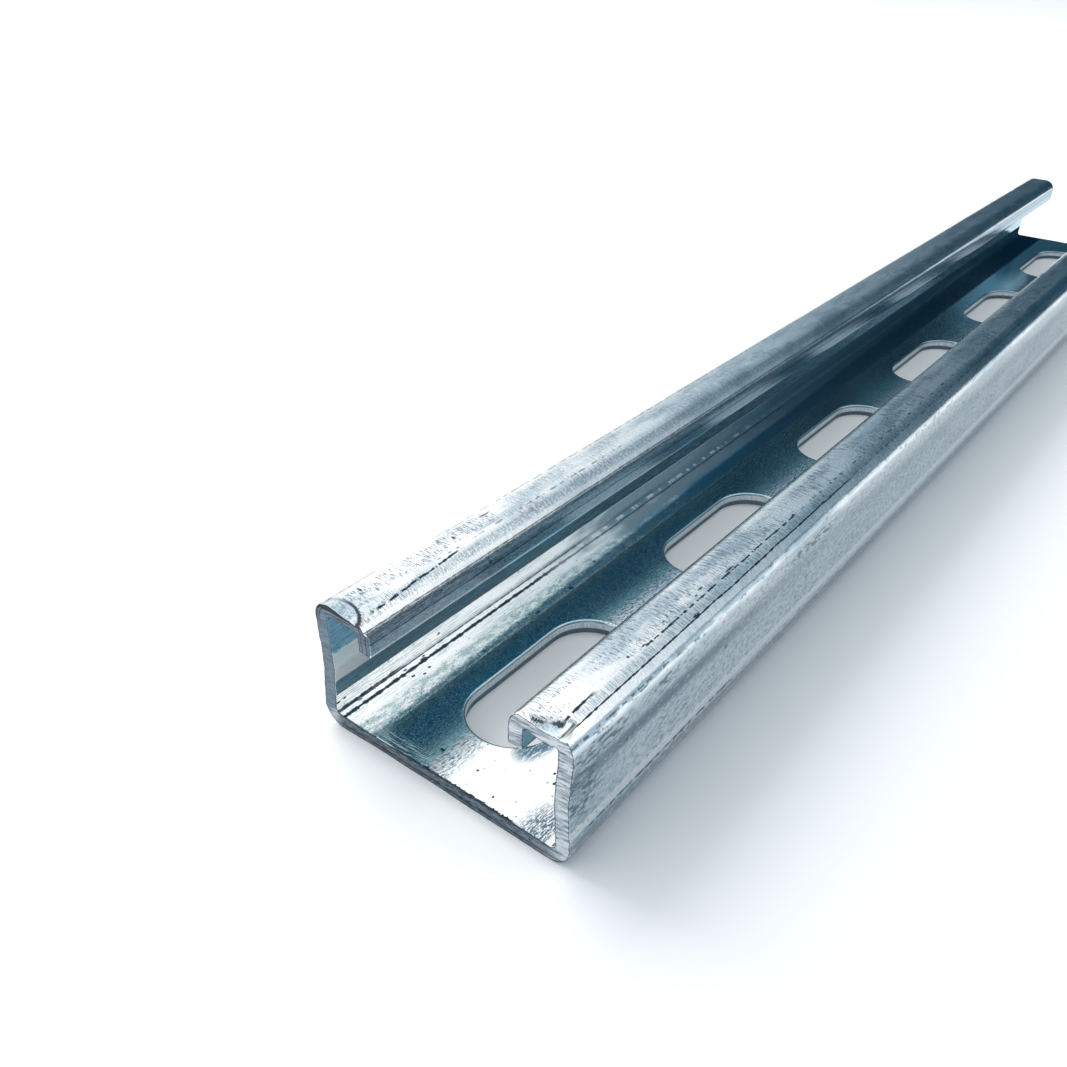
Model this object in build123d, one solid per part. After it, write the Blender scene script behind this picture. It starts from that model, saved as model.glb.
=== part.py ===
from build123d import *
import os

# Slotted strut channel: a short cut length of roll-formed, zinc-coated framing stock.
#
# The channel lies on its slotted web with the open side up. X runs along the
# length, Y across the width and Z up. The origin is on the underside of the
# web, at the middle of the length and of the width. Sizes are in millimetres.

# Rolled section
WIDTH = 41.3          # over the two side walls
HEIGHT = 20.6         # from the underside of the web to the top of the flanges
SHEET = 2.2           # thickness of the coated sheet
INSIDE_BEND = 0.8     # inside radius of every bend
MOUTH = 22.6          # clear opening between the two lips
LIP_DROP = 5.9        # from the top of a flange down to the slit edge of its lip
LIP_EDGE = 0.3        # rounding of the slit edges of the lips
WAIST = 0.4           # how far each side wall is drawn in at mid-height

# Length of stock and its punched slots
LENGTH = 306.0
SLOT_LENGTH = 31.0    # end to end
SLOT_WIDTH = 13.5
SLOT_PITCH = 50.8     # from the centre of one slot to the next
END_MARGIN = 8.7      # from the sawn end at -X to the nearest point of the first slot
SLOT_ROLLOVER = 0.35  # rounding that the punch leaves round the inside rim of a slot


def sheet_face(depth):
    """Half of one face of the sheet in section, from the middle of the web round
    to the slit edge of the lip. It lies `depth` below the outside of the sheet."""
    bend = INSIDE_BEND + SHEET - depth
    wall = WIDTH / 2 - depth
    lip = MOUTH / 2 + depth
    low = depth
    high = HEIGHT - depth

    web = Line((0, low), (wall - bend, low))
    foot = TangentArc(web @ 1, (wall, low + bend), tangent=web % 1)
    waist = (wall - WAIST, HEIGHT / 2)
    side = Spline(foot @ 1, waist, (wall, high - bend), tangents=[(0, 1), (0, 1)])
    shoulder = TangentArc(side @ 1, (wall - bend, high), tangent=(0, 1))
    flange = Line(shoulder @ 1, (lip + bend, high))
    nose = TangentArc(flange @ 1, (lip, high - bend), tangent=flange % 1)
    drop = Line(nose @ 1, (lip, HEIGHT - LIP_DROP))
    return [web, foot, side, shoulder, flange, nose, drop]


def rolled_section():
    """The closed C section, with the half at +Y mirrored to -Y."""
    outside = sheet_face(0)
    inside = sheet_face(SHEET)
    slit_edge = Line(outside[-1] @ 1, inside[-1] @ 1)
    middle = Line(outside[0] @ 0, inside[0] @ 0)
    half = make_face(outside + inside + [slit_edge, middle])
    slit_level = HEIGHT - LIP_DROP
    slit_corners = half.vertices().filter_by_position(Axis.Y, slit_level, slit_level)
    half = fillet(slit_corners, radius=LIP_EDGE)
    return Plane.YZ * (half + mirror(half, about=Plane.YZ))


def slot_centres():
    """Places along X of the slots that fit whole into the length."""
    first = END_MARGIN + SLOT_LENGTH / 2 - LENGTH / 2
    room = LENGTH - END_MARGIN - SLOT_LENGTH
    count = int(room // SLOT_PITCH) + 1
    return [first + number * SLOT_PITCH for number in range(count)]


def slot_rims(channel):
    """The edges round the slots on the inside face of the web."""
    level = channel.edges().filter_by_position(Axis.Z, SHEET, SHEET)
    between_ends = level.filter_by_position(
        Axis.X, -LENGTH / 2, LENGTH / 2, inclusive=(False, False)
    )
    return between_ends.filter_by_position(Axis.Y, -SLOT_WIDTH / 2, SLOT_WIDTH / 2)


def strut_channel():
    """The stock extruded to length, with its row of slots punched from inside."""
    channel = extrude(rolled_section(), amount=LENGTH / 2, both=True)
    for centre in slot_centres():
        slot = Pos(centre, 0, 0) * SlotOverall(SLOT_LENGTH, SLOT_WIDTH)
        channel -= extrude(slot, amount=SHEET)
    return fillet(slot_rims(channel), radius=SLOT_ROLLOVER)


os.makedirs("parts", exist_ok=True)
export_step(strut_channel(), "parts/strut_channel.step")
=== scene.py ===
import math
import bmesh
import bpy
import numpy as np
from mathutils import Matrix, Vector


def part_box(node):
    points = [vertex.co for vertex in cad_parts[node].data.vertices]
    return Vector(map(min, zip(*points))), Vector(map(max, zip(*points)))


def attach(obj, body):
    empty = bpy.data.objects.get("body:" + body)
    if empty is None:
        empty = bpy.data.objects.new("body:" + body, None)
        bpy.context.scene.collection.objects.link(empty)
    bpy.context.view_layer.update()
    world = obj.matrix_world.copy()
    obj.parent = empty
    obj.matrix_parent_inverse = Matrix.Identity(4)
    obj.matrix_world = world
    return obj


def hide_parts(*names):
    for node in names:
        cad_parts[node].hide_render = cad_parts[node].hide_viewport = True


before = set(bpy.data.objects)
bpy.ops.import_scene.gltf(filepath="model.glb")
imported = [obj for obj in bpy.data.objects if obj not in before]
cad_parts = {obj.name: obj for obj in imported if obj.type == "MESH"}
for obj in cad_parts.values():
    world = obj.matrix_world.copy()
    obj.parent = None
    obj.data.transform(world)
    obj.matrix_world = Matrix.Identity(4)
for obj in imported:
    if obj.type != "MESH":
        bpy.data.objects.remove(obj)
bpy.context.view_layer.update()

# Everything below is worked out in millimetres in the frame of the part: X along the
# channel, Y across it, Z up. The sheet is also described unrolled: x along it, s across
# it from the middle of the web (+ towards +Y) and depth from its outside face.
MM = 0.001
NODE = "strut_channel"
low_corner, high_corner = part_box(NODE)
LENGTH = (high_corner.x - low_corner.x) / MM
WIDTH = (high_corner.y - low_corner.y) / MM
HEIGHT = high_corner.z / MM

# Rolled section, as in the source of the part
SHEET = 2.2
INSIDE_BEND = 0.8
MOUTH = 22.6
LIP_DROP = 5.9
LIP_EDGE = 0.3
WAIST = 0.4
OUTSIDE_BEND = INSIDE_BEND + SHEET
MIDDLE_BEND = INSIDE_BEND + SHEET / 2
QUARTER = math.pi / 2

# Punched slots
SLOT_LENGTH = 31.0
SLOT_WIDTH = 13.5
SLOT_PITCH = 50.8
END_MARGIN = 8.7
SLOT_ROLLOVER = 0.35
SLOT_COUNT = 6
SLOT_STRAIGHT = (SLOT_LENGTH - SLOT_WIDTH) / 2
NEAR_END = -LENGTH / 2
FAR_END = LENGTH / 2
SLOT_CENTRES = [
    NEAR_END + END_MARGIN + SLOT_LENGTH / 2 + SLOT_PITCH * number for number in range(SLOT_COUNT)
]

# Where the parts of the half section start, across the unrolled sheet
WEB_EDGE = WIDTH / 2 - OUTSIDE_BEND
FOOT_TOP = WEB_EDGE + QUARTER * MIDDLE_BEND
WALL_RISE = HEIGHT - 2 * OUTSIDE_BEND
WALL_TOP = FOOT_TOP + WALL_RISE
FLANGE_START = WALL_TOP + QUARTER * MIDDLE_BEND
FLANGE_RUN = WEB_EDGE - (MOUTH / 2 + OUTSIDE_BEND)
FLANGE_END = FLANGE_START + FLANGE_RUN
LIP_START = FLANGE_END + QUARTER * MIDDLE_BEND
LIP_RUN = LIP_DROP - OUTSIDE_BEND
LIP_END = LIP_START + LIP_RUN

# Mesh density: cells across each part of the half section
SLOT_ZONE = 10.5      # the web within this half width is woven round the slots
SLOT_COLUMNS = 8      # cells across that half width
CELLS = [
    ("web", 0.0, SLOT_ZONE / WEB_EDGE, SLOT_COLUMNS),
    ("web", SLOT_ZONE / WEB_EDGE, 1.0, 11),
    ("foot", 0.0, 1.0, 8),
    ("side", 0.0, 1.0, 24),
    ("shoulder", 0.0, 1.0, 8),
    ("flange", 0.0, 1.0, 7),
    ("nose", 0.0, 1.0, 8),
    ("drop", 0.0, 1.0, 5),
]
LAYERS = np.array([0.0, 0.05, 0.16, 0.3, 0.8, 1.4, 1.9, 2.04, 2.15, 2.2])
TOP_LAYER = len(LAYERS) - 1
BLOCK_HALF = 18.0     # half length of the patch of web round each slot
END_CELL = 0.06       # length of the first cell behind each sawn end
FINE_REACH = 5.0      # the finer mesh at the near end reaches this far in
FINE_START = 0.25     # where its even rings start
FINE_RINGS = 20
FIRST_GAP = 0.6       # between the first coarse ring and the first slot's patch
FAR_RINGS = (8.6, 7.4, 6.2, 5.0, 3.9, 2.9, 2.1, 1.4, 0.8, 0.4)    # distances from that end
EDGE_BREAK = 0.07     # the saw cut leaves this much of the rim broken
BREAKOUT = 0.055      # the punch tears the slots this much wider underneath,
BREAKOUT_TOP = 1.1    # from this height in the sheet down
NEAR_SAW = (0.7, 1)   # seed of a sawn end's unevenness, and the way into the steel along X
FAR_SAW = (2.9, -1)
SHARP_ANGLE = 40.0    # edges sharper than this aren't shaded round


# ---- section

def half_point(part, share, depth):
    """(y, z, s) at +Y of a point on the part of the section, `depth` under the outside."""
    bend = OUTSIDE_BEND - depth
    wall = WIDTH / 2 - depth
    turn = share * QUARTER
    if part == "web":
        return share * WEB_EDGE, depth, share * WEB_EDGE
    if part == "foot":
        return (WEB_EDGE + bend * math.sin(turn), OUTSIDE_BEND - bend * math.cos(turn),
                WEB_EDGE + turn * MIDDLE_BEND)
    if part == "side":
        rise = 1 - abs(2 * share - 1)
        bow = WAIST * rise * rise * (3 - 2 * rise)
        return wall - bow, OUTSIDE_BEND + share * WALL_RISE, FOOT_TOP + share * WALL_RISE
    top = HEIGHT - OUTSIDE_BEND
    if part == "shoulder":
        return (WEB_EDGE + bend * math.cos(turn), top + bend * math.sin(turn),
                WALL_TOP + turn * MIDDLE_BEND)
    nose = MOUTH / 2 + OUTSIDE_BEND
    if part == "flange":
        return WEB_EDGE - share * FLANGE_RUN, HEIGHT - depth, FLANGE_START + share * FLANGE_RUN
    if part == "nose":
        return (nose - bend * math.sin(turn), top + bend * math.cos(turn),
                FLANGE_END + turn * MIDDLE_BEND)
    drop = LIP_RUN - LIP_EDGE
    return MOUTH / 2 + depth, top - share * drop, LIP_START + share * drop


def columns(split):
    """The lines of the mesh across the whole section, from one slit edge to the other:
    arrays of outside y, z, inside y, z and s. Each cell is split that many times."""
    half = []
    for part, start, end, count in CELLS:
        for number in range(count * split):
            half.append((part, start + (end - start) * number / (count * split)))
    half.append(("drop", 1.0))
    rows = []
    for part, share in half:
        y, z, s = half_point(part, share, 0.0)
        rows.append((y, z, *half_point(part, share, SHEET)[:2], s))
    rows = np.array(rows)
    other = rows[:0:-1] * np.array([-1, 1, -1, 1, -1])
    return np.vstack([other, rows])


def slit_height(depth):
    """Height of the rounded slit edge at each depth in the sheet."""
    from_face = np.minimum(depth, SHEET - depth)
    inset = np.clip(LIP_EDGE - from_face, 0, LIP_EDGE)
    return HEIGHT - LIP_DROP + LIP_EDGE - np.sqrt(LIP_EDGE ** 2 - inset ** 2)


# ---- relief

rng = np.random.default_rng(41)
WAVE_SET = [
    # amplitude, wavelength along, wavelength across
    (0.014, 74.0, 31.0),
    (0.01, 41.0, 19.0),
    (0.005, 17.0, 11.0),
    (0.003, 9.0, 7.0),
    (0.0013, 4.3, 6.0),
]
WAVE_PHASES = rng.uniform(0, 2 * math.pi, (len(WAVE_SET), 4))


def rolling_waves(x, s):
    """The slight unevenness of rolled sheet, always inwards of the true face."""
    total = np.zeros_like(x)
    reach = 0.0
    for (size, along, across), phase in zip(WAVE_SET, WAVE_PHASES):
        first = np.sin(2 * math.pi * (x / along + 0.35 * s / across) + phase[0])
        second = np.sin(2 * math.pi * (s / across - 0.4 * x / along) + phase[1])
        total += size * (0.6 * first + 0.4 * second * np.cos(2 * math.pi * x / along + phase[2]))
        reach += size
    return total + reach


def bell(value, width):
    return np.exp(-(value / width) ** 2)


def step(value, start, end):
    share = np.clip((value - start) / (end - start), 0, 1)
    return share * share * (3 - 2 * share)


# Damage that the saw left at the near end. `run` is the distance from that end.
DENT_S = -39.2        # middle of the dent in the flange at -Y
DENT_DEPTH = 0.72
DENT_HALF = 2.6
DENT_RUN = 2.6
CHIP_DEPTH = 0.42     # wedge worn off the top of that dent, back to a cracked edge
CHIP_STEP = 0.07      # height of that edge
CRACK_ACROSS = [36.6, 37.9, 39.1, 40.3, 41.6, 42.8]     # places of the edge across the sheet
CRACK_RUN = [0.9, 2.3, 1.6, 0.85, 0.5, 0.3]             # and how far in it lies there
GOUGE_DEPTH = 0.22
MOON_S = 39.9         # middle of the half-moon facet on the flange at +Y
MOON_HALF = 3.1
MOON_RUN = 2.35
MOON_DEPTH = 0.78
MOON_STEP = 0.16
LIP_SET_BACK = 0.55   # the end of the lip at +Y broke off a little short


def damage(run, s, depth):
    """How far points move into the sheet, and back from the near end."""
    inward = DENT_DEPTH * bell(s - DENT_S, DENT_HALF) * np.exp(-(run / DENT_RUN) ** 1.5)
    near_face = np.clip(1 - depth / 1.5, 0, 1)

    crack = np.interp(-s, CRACK_ACROSS, CRACK_RUN)
    on_chip = step(-s, 36.6, 37.3) * (1 - step(-s, 41.9, 43.0))
    wedge = np.clip(1 - run / crack, 0, 1)
    inward += near_face * on_chip * (CHIP_DEPTH * wedge + CHIP_STEP * (run < crack))
    gouge = bell(run - 1.55, 0.75) * bell(s + 38.0, 0.55)
    inward += near_face * GOUGE_DEPTH * gouge

    across = np.clip(1 - ((s - MOON_S) / MOON_HALF) ** 2, 0, 1)
    reach = MOON_RUN * np.sqrt(across)
    inside_moon = np.clip(1 - run / np.maximum(reach, 0.01), 0, 1)
    lean = np.clip(0.35 + 0.65 * (s - 37.6) / 3.6, 0.2, 1.05)
    inward += near_face * MOON_DEPTH * lean * inside_moon * step(across, 0, 0.25)
    inward += near_face * MOON_STEP * step(inside_moon, 0, 0.12) * step(s, 38.4, 40.6)

    back = LIP_SET_BACK * step(s, 43.6, 44.6)
    return inward, back


def saw_face(y, z, saw):
    """Unevenness of a sawn end, as a step along X."""
    seed, side = saw
    line = z + 0.15 * y
    relief = 0.03 * (1 + np.sin(line / 0.62 + 1.3 * np.sin(0.35 * y + seed)))
    relief += 0.022 * (1 + np.sin(line / 0.27 + 2.1 * np.sin(0.21 * z + 1.7 * seed)))
    relief += 0.045 * (1 + np.sin(0.16 * y + 0.31 * z + seed))
    return side * relief


def rim_wear(s, saw):
    """How ragged the sawn rim is, from place to place across the sheet."""
    seed = saw[0]
    rough = np.abs(np.sin(2.9 * s + seed) * np.sin(1.13 * s + 2 * seed) + 0.5 * np.sin(6.1 * s))
    return EDGE_BREAK * (0.5 + rough)


# ---- mesh

INSIDE, WALL, TOP, SAWN, PUNCHED = range(5)
COAT = -1             # coated faces: one of the first three, by their place on the sheet
TOP_START = 35.4      # the finish of the shoulders and flanges starts here


class Shell:
    """Collects the points of the channel with their place on the unrolled sheet."""

    def __init__(self):
        self.points = []
        self.strip = []
        self.count = 0
        self.faces = []
        self.looks = []

    def add(self, points, strip):
        self.points.append(points)
        self.strip.append(strip)
        first = self.count
        self.count += len(points)
        return np.arange(first, self.count)

    def face(self, corners, look=COAT):
        self.faces.append(list(corners))
        self.looks.append(look)


def shaped(x, y, z, normal_y, normal_z, s, depth):
    """Final places of points of the sheet, with its waves and damage."""
    run = x - NEAR_END
    inward, back = damage(run, s, depth)
    inward = inward + rolling_waves(x, s)
    back = back * np.clip(1 - run / 6.0, 0, 1)
    return np.column_stack([x + back, y + normal_y * inward, z + normal_z * inward])


def ring_keys(table):
    """(column, layer) of the points of one ring, in order round the section."""
    last = len(table) - 1
    keys = [(i, 0) for i in range(last + 1)]
    keys += [(last, j) for j in range(1, TOP_LAYER)]
    keys += [(i, TOP_LAYER) for i in range(last, -1, -1)]
    keys += [(0, j) for j in range(TOP_LAYER - 1, 0, -1)]
    return keys


def add_section(shell, table, keys, x, saw=None, worn=False):
    """Adds the points `keys` of the cross-section at x, moved by the saw near an end and
    worn on its rim. Gives the number of each key's point."""
    column = np.array([key[0] for key in keys])
    layer = np.array([key[1] for key in keys])
    outer_y, outer_z, inner_y, inner_z, s = table[column].T
    depth = LAYERS[layer]
    normal_y = (inner_y - outer_y) / SHEET
    normal_z = (inner_z - outer_z) / SHEET
    wear = rim_wear(s, saw) if worn else 0.0 * s
    sunk = np.where(layer == 0, wear, np.where(layer == TOP_LAYER, SHEET - wear, depth))
    y = outer_y + normal_y * sunk
    z = outer_z + normal_z * sunk
    slit = (column == 0) | (column == len(table) - 1)
    inner_slit = slit & (layer > 0) & (layer < TOP_LAYER)
    level = slit_height(depth)
    z = np.where(inner_slit, level + wear, z)
    s = np.where(inner_slit, np.sign(s) * (LIP_END - (level - (HEIGHT - LIP_DROP))), s)
    place = np.full(len(keys), float(x))
    points = shaped(place, y, z, normal_y, normal_z, s, depth)
    if saw:
        points[:, 0] += saw_face(y, z, saw)
    return dict(zip(keys, shell.add(points, np.column_stack([place, s, depth]))))


def join_rings(shell, table, ring, following, skip_web):
    """Quads between two rings with the same columns."""
    keys = list(ring)
    middle = (len(table) - 1) // 2
    for number, key in enumerate(keys):
        after = keys[(number + 1) % len(keys)]
        in_zone = max(abs(key[0] - middle), abs(after[0] - middle)) <= SLOT_COLUMNS
        if skip_web and in_zone and key[1] == after[1]:
            continue
        shell.face((ring[key], ring[after], following[after], following[key]))


def join_fine_to_coarse(shell, fine, coarse):
    """Faces between a ring with split cells and one without."""
    keys = list(coarse)
    for number, key in enumerate(keys):
        after = keys[(number + 1) % len(keys)]
        corners = [fine[(key[0] * 2, key[1])]]
        if key[0] != after[0]:
            corners.append(fine[(key[0] + after[0], key[1])])
        corners += [fine[(after[0] * 2, after[1])], coarse[after], coarse[key]]
        shell.face(corners)


def cap_end(shell, table, ring, x, saw):
    """The sawn face, as a grid through the thickness of the sheet."""
    last = len(table) - 1
    keys = [(i, j) for i in range(1, last) for j in range(1, TOP_LAYER)]
    grid = {**add_section(shell, table, keys, x, saw), **ring}
    for i in range(last):
        for j in range(TOP_LAYER):
            corners = ((i, j), (i + 1, j), (i + 1, j + 1), (i, j + 1))
            shell.face([grid[corner] for corner in corners], SAWN)


def slot_rim(dx, y, offset):
    """The point of the slot's outline, moved out by `offset`, that faces (dx, y)."""
    radius = SLOT_WIDTH / 2 + offset
    if abs(dx) <= SLOT_STRAIGHT + 1e-6:
        return dx, math.copysign(radius, y)
    end = math.copysign(SLOT_STRAIGHT, dx)
    angle = math.atan2(y, dx - end)
    return end + radius * math.cos(angle), radius * math.sin(angle)


def weave_slot(shell, centre, rings, stations, middle):
    """Joins the web's two faces round one slot, through its punched wall."""
    side = SLOT_COLUMNS
    final = len(stations) - 1
    walk = [(final, i) for i in range(-side, side)]
    walk += [(k, side) for k in range(final, 0, -1)]
    walk += [(0, i) for i in range(side, -side, -1)]
    walk += [(k, -side) for k in range(final)]
    inside_shares = (0.24, 0.46, 0.66, 0.82, 0.93, 1.0)
    roll_turns = [math.radians(a) for a in (22.5, 45, 67.5, 90)]
    wall_levels = (1.5, 1.15, 0.8, 0.4, 0.12, 0.0)
    outside_shares = (0.93, 0.78, 0.55, 0.28)
    looks = [COAT] * (len(inside_shares) + len(roll_turns)) + [PUNCHED] * len(wall_levels)
    looks += [COAT] * (len(outside_shares) + 1)
    ladders = []
    for k, column in walk:
        dx = stations[k] - centre
        y = column * SLOT_ZONE / SLOT_COLUMNS
        chain = []
        rim_x, rim_y = slot_rim(dx, y, SLOT_ROLLOVER)
        for share in inside_shares:
            chain.append((dx + (rim_x - dx) * share, y + (rim_y - y) * share, SHEET))
        for turn in roll_turns:
            rim = slot_rim(dx, y, SLOT_ROLLOVER * (1 - math.sin(turn)))
            chain.append((*rim, SHEET - SLOT_ROLLOVER * (1 - math.cos(turn))))
        for level in wall_levels:
            torn = BREAKOUT * max(0.0, 1 - level / BREAKOUT_TOP)
            chain.append((*slot_rim(dx, y, torn), level))
        rim_x, rim_y = slot_rim(dx, y, BREAKOUT)
        for share in outside_shares:
            chain.append((dx + (rim_x - dx) * share, y + (rim_y - y) * share, 0.0))
        dx, y, depth = np.array(chain).T
        x = dx + centre
        points = shaped(x, y, depth, 0, 1, y, depth)
        added = shell.add(points, np.column_stack([x, y, depth]))
        ring = rings[k]
        column += middle
        ladders.append([ring[(column, TOP_LAYER)], *added, ring[(column, 0)]])
    for here, there in zip(ladders, ladders[1:] + ladders[:1]):
        for low, look in enumerate(looks):
            shell.face((here[low], here[low + 1], there[low + 1], there[low]), look)


def stations_along():
    """Places of the rings along the channel, and those that bound each slot's patch."""
    block = np.concatenate([
        np.linspace(-BLOCK_HALF, -SLOT_STRAIGHT, 7)[:-1],
        np.linspace(-SLOT_STRAIGHT, SLOT_STRAIGHT, 11)[:-1],
        np.linspace(SLOT_STRAIGHT, BLOCK_HALF, 7),
    ])
    places = [NEAR_END, NEAR_END + END_CELL]
    places += list(NEAR_END + np.linspace(FINE_START, FINE_REACH, FINE_RINGS))
    fine_count = len(places)
    blocks = []
    places.append(SLOT_CENTRES[0] - BLOCK_HALF - FIRST_GAP)
    for number, centre in enumerate(SLOT_CENTRES):
        start = len(places)
        places += list(centre + block)
        blocks.append((start, len(places) - 1))
        if number + 1 < SLOT_COUNT:
            gap_start = centre + BLOCK_HALF
            gap_end = SLOT_CENTRES[number + 1] - BLOCK_HALF
            places += list(np.linspace(gap_start, gap_end, 9)[1:-1])
    places += list(FAR_END - np.array([*FAR_RINGS, END_CELL, 0.0]))
    return np.array(places), fine_count, blocks


def build_channel():
    shell = Shell()
    places, fine_count, blocks = stations_along()
    coarse_table = columns(1)
    fine_table = columns(2)
    middle = (len(coarse_table) - 1) // 2
    last = len(places) - 1
    rings = []
    for number, x in enumerate(places):
        table = fine_table if number < fine_count else coarse_table
        saw = NEAR_SAW if number <= 1 else FAR_SAW if number >= last - 1 else None
        rings.append(add_section(shell, table, ring_keys(table), x, saw, number in (0, last)))
    woven = {number for start, end in blocks for number in range(start, end)}
    for number in range(last):
        if number == fine_count - 1:
            join_fine_to_coarse(shell, rings[number], rings[number + 1])
            continue
        table = fine_table if number < fine_count - 1 else coarse_table
        join_rings(shell, table, rings[number], rings[number + 1], number in woven)
    for (start, end), centre in zip(blocks, SLOT_CENTRES):
        weave_slot(shell, centre, rings[start:end + 1], places[start:end + 1], middle)
    cap_end(shell, fine_table, rings[0], NEAR_END, NEAR_SAW)
    cap_end(shell, coarse_table, rings[-1], FAR_END, FAR_SAW)
    return shell


def finish_of(strip, look):
    """Which material a face takes: `strip` holds its corners' places on the sheet."""
    if look != COAT:
        return look
    middle = strip.mean(axis=0)
    if middle[2] > SHEET / 2:
        return INSIDE
    return TOP if abs(middle[1]) > TOP_START else WALL


def finished_mesh(shell, name):
    points = np.vstack(shell.points)
    strip = np.vstack(shell.strip)
    used = np.unique(np.concatenate(shell.faces))
    renumber = np.full(len(points), -1)
    renumber[used] = np.arange(len(used))
    points = points[used]
    strip = strip[used]
    faces = [renumber[face].tolist() for face in shell.faces]
    points = np.clip(points, np.array(low_corner) / MM, np.array(high_corner) / MM)
    mesh = bpy.data.meshes.new(name)
    mesh.from_pydata((points * MM).tolist(), [], faces)
    attribute = mesh.attributes.new("strip", "FLOAT_VECTOR", "POINT")
    attribute.data.foreach_set("vector", strip.astype(np.float32).ravel())
    looks = [finish_of(strip[face], look) for face, look in zip(faces, shell.looks)]
    mesh.polygons.foreach_set("material_index", np.array(looks, np.int32))
    mesh.polygons.foreach_set("use_smooth", np.ones(len(faces), bool))
    work = bmesh.new()
    work.from_mesh(mesh)
    bmesh.ops.recalc_face_normals(work, faces=work.faces)
    if work.calc_volume(signed=True) < 0:
        bmesh.ops.reverse_faces(work, faces=work.faces)
    work.to_mesh(mesh)
    work.free()
    mesh.set_sharp_from_angle(angle=math.radians(SHARP_ANGLE))
    mesh.update()
    return mesh


# ---- shader helpers

class Value:
    """What a shader node gives out, with the usual arithmetic."""

    def __init__(self, nodes, socket):
        self.nodes = nodes
        self.socket = socket

    def __add__(self, other):
        return self.nodes.calc("ADD", self, other)

    def __sub__(self, other):
        return self.nodes.calc("SUBTRACT", self, other)

    def __rsub__(self, other):
        return self.nodes.calc("SUBTRACT", other, self)

    def __mul__(self, other):
        return self.nodes.calc("MULTIPLY", self, other)

    def __rmul__(self, other):
        return self.nodes.calc("MULTIPLY", other, self)

    def __abs__(self):
        return self.nodes.calc("ABSOLUTE", self)


class Coat:
    """A colour built up in layers, each with its share over those before."""

    def __init__(self, nodes, share, first, second):
        self.nodes = nodes
        self.colour = nodes.blend(share, first, second)

    def lay(self, share, tint):
        self.colour = self.nodes.blend(share, self.colour, tint)


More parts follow.
